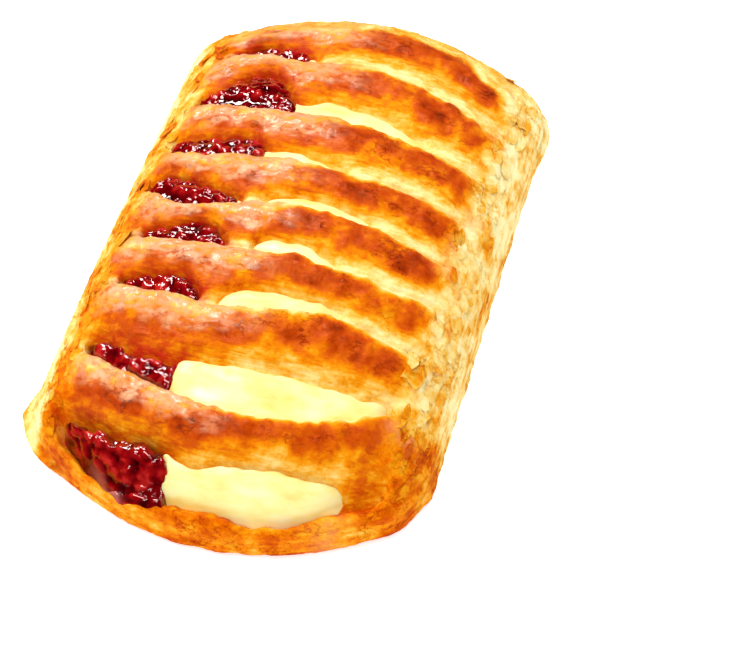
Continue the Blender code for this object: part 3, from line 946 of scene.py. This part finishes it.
def vanilla_custard():
    """Cooked vanilla custard, piped and set under heat: smooth, pale and softly translucent."""
    material, shader = new_material("vanilla_custard_baked_smooth")
    place = add_node(material, "TexCoord").outputs["Object"]
    piped = add_node(material, "Mapping", Vector=place, Scale=(0.4, 1.0, 1.0)).outputs[0]
    cloud = add_node(material, "TexNoise", Vector=piped, Scale=per_metre(4.0), Detail=4.0).outputs["Fac"]
    ramp = add_node(material, "ValToRGB", Fac=cloud)
    fill_ramp(ramp, ((0.3, "#F8DA6E"), (0.5, "#FFF09C"), (0.7, "#FFF8BE")))
    join(material, ramp.outputs["Color"], shader, "Base Color")
    fine = add_node(material, "TexNoise", Vector=piped, Scale=per_metre(1.4), Detail=3.0).outputs["Fac"]
    bump = add_node(material, "Bump", Strength=0.3, Distance=0.3 * MM, Height=fine).outputs[0]
    join(material, bump, shader, "Normal")
    shader.inputs["Roughness"].default_value = 0.3
    shader.inputs["IOR"].default_value = 1.42
    shader.inputs["Subsurface Weight"].default_value = 0.15
    shader.inputs["Subsurface Radius"].default_value = (1.0, 0.8, 0.35)
    shader.inputs["Subsurface Scale"].default_value = 1.5 * MM
    return material


# Stage: camera, soft studio light, pale floor and backdrop.
CAMERA_AZIMUTH = 14.93
CAMERA_ELEVATION = 50.20
CAMERA_ROLL = 0.38
CAMERA_DISTANCE = 473.65
CAMERA_AIM = (21.63, -21.94, 13.0)
FOCAL_LENGTH = 112.8
REACH = 3.0  # half the floor's side and the backdrop's height, in metres
BACKDROP_SIDES = 32
FLOOR_GLOW = 0.62
BACKDROP_GLOW = 1.0


def place_camera():
    azimuth, elevation, roll = radians(CAMERA_AZIMUTH), radians(CAMERA_ELEVATION), radians(CAMERA_ROLL)
    back = Vector((sin(azimuth) * cos(elevation), -cos(azimuth) * cos(elevation), sin(elevation)))
    right = Vector((cos(azimuth), sin(azimuth), 0.0))
    up = back.cross(right)
    right, up = cos(roll) * right + sin(roll) * up, cos(roll) * up - sin(roll) * right
    camera = bpy.data.objects.new("camera", bpy.data.cameras.new("camera"))
    camera.data.sensor_width = 36.0
    camera.data.lens = FOCAL_LENGTH
    camera.data.clip_end = 20.0
    camera.matrix_world = Matrix((right, up, back)).transposed().to_4x4()
    camera.location = (Vector(CAMERA_AIM) + back * CAMERA_DISTANCE) * MM
    bpy.context.scene.collection.objects.link(camera)
    bpy.context.scene.camera = camera


def soft_light(name, location, size, power):
    lamp = bpy.data.lights.new(name, "AREA")
    lamp.size = size
    lamp.energy = power
    light = bpy.data.objects.new(name, lamp)
    light.location = location
    light.rotation_euler = (-Vector(location)).to_track_quat("-Z", "Y").to_euler()
    bpy.context.scene.collection.objects.link(light)


def light_stage():
    world = bpy.data.worlds.new("studio")
    world.use_nodes = True
    sky = world.node_tree.nodes["Background"]
    sky.inputs["Color"].default_value = (1.0, 1.0, 1.0, 1.0)
    sky.inputs["Strength"].default_value = 0.5
    bpy.context.scene.world = world
    world.cycles_visibility.glossy = False
    soft_light("key", (-0.35, 0.45, 0.90), 0.30, 5.6)
    soft_light("window", (-0.75, 0.75, 0.55), 0.16, 2.2)
    soft_light("front", (-0.15, -0.35, 1.00), 0.26, 3.6)
    soft_light("lamp", (0.30, 0.10, 1.05), 0.10, 1.4)
    soft_light("low_lamp", (-0.10, -0.85, 0.75), 0.14, 0.9)


def lay_card(name, corners, faces, glow):
    """A white card of the stage, lit from within as well, that glossy surfaces don't mirror."""
    mesh = bpy.data.meshes.new(name)
    mesh.from_pydata(corners, [], faces)
    card = bpy.data.objects.new(name, mesh)
    bpy.context.scene.collection.objects.link(card)
    material, shader = new_material("white_card_" + name)
    shader.inputs["Base Color"].default_value = linear("#FFFFFF")
    shader.inputs["Roughness"].default_value = 0.9
    shader.inputs["Specular IOR Level"].default_value = 0.0
    shader.inputs["Emission Color"].default_value = linear("#FFFFFF")
    shader.inputs["Emission Strength"].default_value = glow
    mesh.materials.append(material)
    card.visible_glossy = False
    return card


def set_stage():
    level = cad_box[0][2] - 0.02 * MM
    floor = [(-REACH, -REACH, level), (REACH, -REACH, level), (REACH, REACH, level), (-REACH, REACH, level)]
    lay_card("floor", floor, [(0, 1, 2, 3)], FLOOR_GLOW)
    turns = [2.0 * pi * turn / BACKDROP_SIDES for turn in range(BACKDROP_SIDES)]
    low = [(REACH * cos(turn), REACH * sin(turn), level) for turn in turns]
    high = [(x, y, REACH) for x, y, _ in low]
    walls = []
    for side in range(BACKDROP_SIDES):
        next_side = (side + 1) % BACKDROP_SIDES
        walls.append((side, next_side, next_side + BACKDROP_SIDES, side + BACKDROP_SIDES))
    backdrop = lay_card("backdrop", low + high, walls, BACKDROP_GLOW)
    backdrop.visible_diffuse = False
    backdrop.visible_shadow = False


def dress(piece, material, node):
    """Gives a piece its material and body, and hides the node that it replaces, if any."""
    piece.data.materials.append(material)
    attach(piece, "root")
    if node:
        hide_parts(node)


bpy.context.scene.view_settings.view_transform = "Standard"
place_camera()
light_stage()
set_stage()
crust, flakes = make_crust()
pastry = baked_puff_pastry()
dress(crust, pastry, "pastry_crust")
dress(flakes, pastry, None)
dress(make_jam(), berry_jam(), "berry_jam")
dress(make_custard(), vanilla_custard(), "custard")
